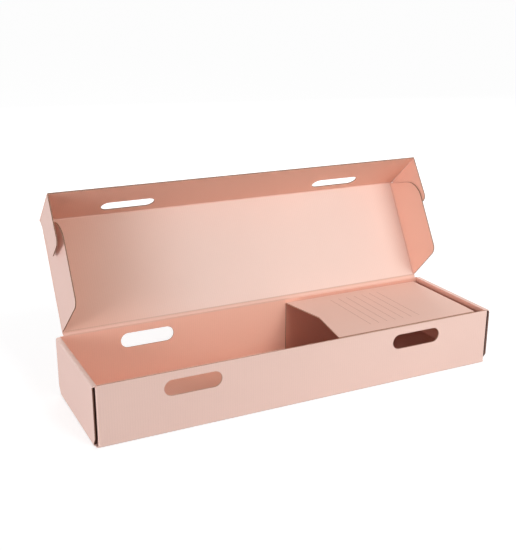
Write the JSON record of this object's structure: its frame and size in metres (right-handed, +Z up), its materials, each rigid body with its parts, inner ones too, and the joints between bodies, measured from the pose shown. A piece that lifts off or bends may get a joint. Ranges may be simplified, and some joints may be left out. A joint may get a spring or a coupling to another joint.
{
  "type": "corrugated mailer box",
  "caption": "Long shallow folding mailer box with rolled end walls, a hinged lid with tuck flap, ears and dust flaps, finger slots and a raised deck insert.",
  "frame": {"origin": "middle of the tray's underside", "axes": "+X along the box, -Y towards the front wall, +Z up"},
  "size_m": [0.6, 0.2545, 0.2765],
  "materials": {
    "printed_board": "matt printed corrugated board, dusty pink",
    "insert_board": "matt printed corrugated board, dusty pink"
  },
  "bodies": {
    "tray": {"tray": "printed_board", "insert": "insert_board"},
    "lid": {"lid": "printed_board"},
    "tuck": {"tuck_flap": "printed_board"},
    "left_dust": {"left_dust_flap": "printed_board"},
    "right_dust": {"right_dust_flap": "printed_board"},
    "left_ear": {"left_ear": "printed_board"},
    "right_ear": {"right_ear": "printed_board"}
  },
  "joints": [
    {"name": "lid_hinge", "type": "hinge", "parent": "tray", "child": "lid", "pos_m": [0, 0.0857, 0.0842], "axis": [-1, 0, 0], "range_deg": [-120, 60]},
    {"name": "tuck_crease", "type": "hinge", "parent": "lid", "child": "tuck", "pos_m": [0, 0.1672, 0.22536], "axis": [-1, 0, 0], "range_deg": [-26, 13]},
    {"name": "left_dust_crease", "type": "hinge", "parent": "lid", "child": "left_dust", "pos_m": [-0.2893, 0.1257, 0.15348], "axis": [0, 0.5, 0.866], "range_deg": [-7, 38]},
    {"name": "right_dust_crease", "type": "hinge", "parent": "lid", "child": "right_dust", "pos_m": [0.2893, 0.1257, 0.15348], "axis": [0, -0.5, -0.866], "range_deg": [0, 45]},
    {"name": "left_ear_crease", "type": "hinge", "parent": "tuck", "child": "left_ear", "pos_m": [-0.2915, 0.13701, 0.2516], "axis": [0, 0.7547, -0.6561], "range_deg": [0, 88]},
    {"name": "right_ear_crease", "type": "hinge", "parent": "tuck", "child": "right_ear", "pos_m": [0.2915, 0.13701, 0.2516], "axis": [0, -0.7547, 0.6561], "range_deg": [0, 88]}
  ],
  "couplings": [
    {"joint": "tuck_crease", "follows": "lid_hinge", "ratio": 0.215}
  ]
}
